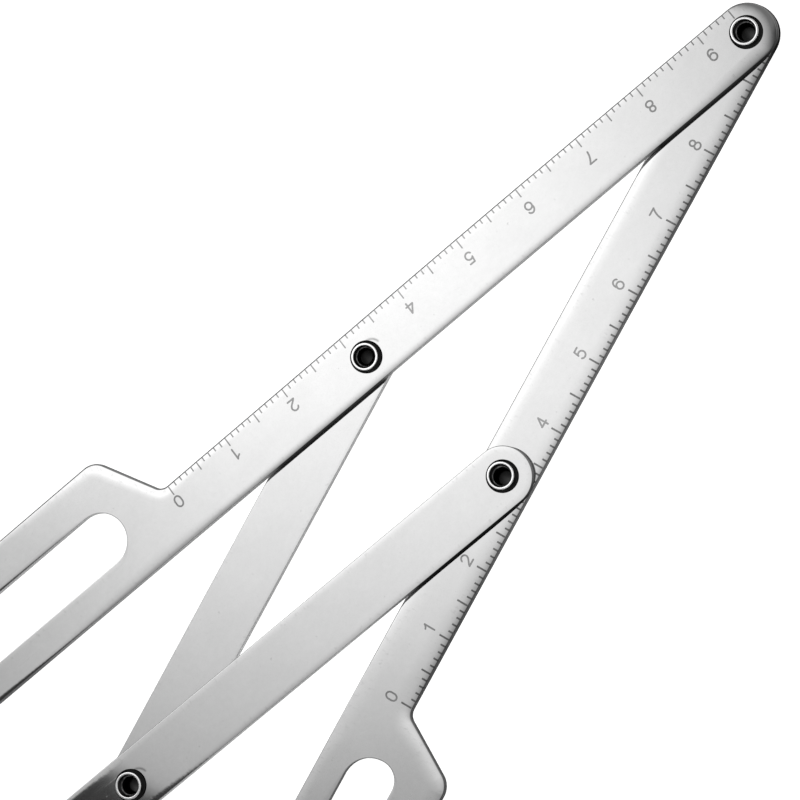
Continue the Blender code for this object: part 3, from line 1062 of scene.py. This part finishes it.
# %% Figures as strokes
figures = {
    0: [bow(0.0, 0.13, 0.31, 0.37, 0, 180) + bow(0.0, -0.13, 0.31, 0.37, 180, 360) + [(0.31, 0.13)]],
    1: [[(0.12, 0.5), (0.12, -0.5)], [(0.12, 0.5), (0.04, 0.38), (-0.08, 0.29), (-0.20, 0.24)]],
    2: [bow(0.0, 0.19, 0.31, 0.31, 165, -15) + [(0.20, -0.06), (-0.02, -0.23), (-0.22, -0.38), (-0.32, -0.5)],
        [(-0.32, -0.5), (0.33, -0.5)]],
    3: [bow(0.0, 0.25, 0.27, 0.25, 150, -90), bow(0.0, -0.24, 0.31, 0.26, 90, -155)],
    4: [[(0.16, 0.5), (0.16, -0.5)], [(0.16, 0.5), (-0.34, -0.21)], [(-0.34, -0.21), (0.34, -0.21)]],
    5: [[(-0.16, 0.5), (0.30, 0.5)], [(-0.16, 0.5), (-0.24, 0.02)], bow(0.0, -0.17, 0.32, 0.33, 138, -150)],
    6: [bow(0.0, -0.18, 0.31, 0.32, 180, -180), bow(0.02, 0.10, 0.33, 0.40, 32, 190)],
    7: [[(-0.32, 0.5), (0.34, 0.5)],
        [(0.34, 0.5), (0.17, 0.27), (0.04, 0.03), (-0.05, -0.24), (-0.09, -0.5)]],
    8: [bow(0.0, 0.255, 0.245, 0.245, 0, 360), bow(0.0, -0.24, 0.31, 0.26, 0, 360)],
    9: [bow(0.0, 0.18, 0.31, 0.32, 0, 360), bow(-0.02, -0.10, 0.33, 0.40, 212, 370)],
}
figure_height = 1.50 * mm
stroke_width = 0.24 * mm
path_gap = 0.12 * mm
cap_angles = (math.radians(35.0), math.radians(70.0))
closed_share = 0.01         # of its width, by which a closed stroke's ends may miss each other


def resampled(points):
    """The same path with points no further apart than the path gap."""
    path = [points[0]]
    for a, b in zip(points, points[1:]):
        pieces = max(1, math.ceil((b - a).length / path_gap))
        path += [a.lerp(b, piece / pieces) for piece in range(1, pieces + 1)]
    return path


def clear_of(points, centre, radius):
    """The stretches of a path that stay outside a circle."""
    stretches = [[]]
    for point in resampled(points):
        if (point - centre).length > radius:
            stretches[-1].append(point)
        elif stretches[-1]:
            stretches.append([])
    return [stretch for stretch in stretches if len(stretch) > 1]


def strip(bm, points, lift):
    """A strip of even width along a path, closed all round, z from 0 to lift."""
    half = stroke_width / 2.0
    closed = (points[0] - points[-1]).length < closed_share * stroke_width
    path = resampled(points)
    if closed:
        path = path[:-1]
    first, last = (path[-1], path[0]) if closed else (path[0], path[-1])
    sides = []
    for before, point, after in zip([first] + path[:-1], path, path[1:] + [last]):
        way = (after - before).normalized()
        aside = Vector((-way.y, way.x)) * half
        sides.append((point + aside, point - aside))
    if not closed:
        for end, inner in ((0, 1), (-1, -2)):
            way = (path[end] - path[inner]).normalized()
            aside = Vector((-way.y, way.x))
            caps = []
            for angle in cap_angles:
                out = path[end] + way * half * math.sin(angle)
                reach = aside * half * math.cos(angle)
                caps.append((out + reach, out - reach))
            sides = caps[::-1] + sides if end == 0 else sides + caps
    tops, feet = (
        [[bm.verts.new((side.x, side.y, z)) for side in pair] for pair in sides] for z in (lift, 0.0))
    pairs = list(zip(range(len(sides)), range(1, len(sides))))
    if closed:
        pairs.append((len(sides) - 1, 0))
    for a, b in pairs:
        bm.faces.new((tops[a][0], tops[b][0], tops[b][1], tops[a][1]))
        bm.faces.new((feet[a][0], feet[b][0], feet[b][1], feet[a][1]))
        bm.faces.new((tops[a][0], tops[b][0], feet[b][0], feet[a][0]))
        bm.faces.new((tops[a][1], tops[b][1], feet[b][1], feet[a][1]))
    if not closed:
        for end in (0, -1):
            bm.faces.new((tops[end][0], tops[end][1], feet[end][1], feet[end][0]))


print("figures:", ", ".join(f"{figure} of {len(strokes)}" for figure, strokes in figures.items()))

# %% [markdown]
# ## Laying the drawing on the plate
#
# The drawing is flat and the plate's edge is not, so every point of it is dropped straight
# down onto the plate. Points from the top of a strip stop a few thousandths of a millimetre
# above the metal, and points from its underside go a little way in.

# %% Laying marks on a plate
mark_lift = 6.0 * micron
mark_depth = 15.0 * micron
drop_height = 20.0 * mm


def laid(mesh, leg, to_leg):
    """Takes each point of a flat drawing to a leg's frame by to_leg and drops it on the plate."""
    plate = bars[leg].data
    surface = BVHTree.FromPolygons(
        [vertex.co for vertex in plate.vertices], [list(face.vertices) for face in plate.polygons])
    for vertex in mesh.vertices:
        top = vertex.co.z
        spot = bar_frames[leg] @ to_leg(vertex.co.x, vertex.co.y)
        hit = surface.ray_cast(Vector((spot.x, spot.y, drop_height)), Vector((0.0, 0.0, -1.0)))[0]
        vertex.co = hit + Vector((0.0, 0.0, top * mark_lift if top > 0.0 else -mark_depth))


print("marks stand", round(mark_lift / micron), "thousandths of a millimetre proud of the metal")

# %% Lines and numbers of both rulers
figure_spacing = 10.0 * line_spacing
short_length = 0.78 * mm
edge_gap = 0.03 * mm            # the lines start this far in from the true edge
rivet_clearance = 2.35 * mm     # a figure is cut off where the left or the right rivet covers it
stroke_rise = 0.3               # a figure's later strokes lie higher where they cross the first


def ruler_marks(name, leg, line_finish, zero, line_width, long_length, row, drift):
    """Lines and numbers of one leg's ruler, as two pieces.

    row is how far figure 0 lies from the pivot line, in mm, and drift what each next adds.
    """
    side, ruled, belly = leg_slots[leg][0], leg_trims[leg][2] * mm, leg_trims[leg][4] * mm

    def from_edge(x, y):
        edge = bar_half + ruled + belly * bell(zero - x, belly_middle, belly_spread) - edge_gap
        return Vector((zero - x, side * (edge - y), 0.0))

    lines_mesh = run_tree(ruler, name + "_lines", {
        "Lines": ruler_lines, "Spacing": line_spacing, "Line Width": line_width,
        "Short Length": short_length, "Long Length": long_length, "Finish": line_finish})
    laid(lines_mesh, leg, from_edge)
    bm = bmesh.new()
    for figure, strokes in figures.items():
        middle = Vector((zero - figure * figure_spacing, side * ((row + drift * figure) * mm)))
        for number, stroke in enumerate(strokes):
            points = [middle - side * figure_height * Vector(point) for point in stroke]
            for stretch in clear_of(points, Vector((pivot_spacing, 0.0)), rivet_clearance):
                strip(bm, stretch, 1.0 + stroke_rise * number)
    figures_mesh = bpy.data.meshes.new(name + "_figures")
    bm.to_mesh(figures_mesh)
    bm.free()
    laid(figures_mesh, leg, lambda x, y: Vector((x, y, 0.0)))
    figures_mesh.materials.append(faint_mark)
    for mesh in (lines_mesh, figures_mesh):
        outward(mesh)
        piece = placed(mesh.name, mesh)
        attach(piece, leg)
        print(piece.name, len(mesh.polygons), "faces")


ruler_marks("left_ruler", "left_leg", faint_mark, 95.05 * mm, 0.18 * mm, 1.50 * mm, 1.21, -0.068)
ruler_marks("right_ruler", "right_leg", dark_mark, 95.33 * mm, 0.24 * mm, 1.65 * mm, 0.71, 0.022)
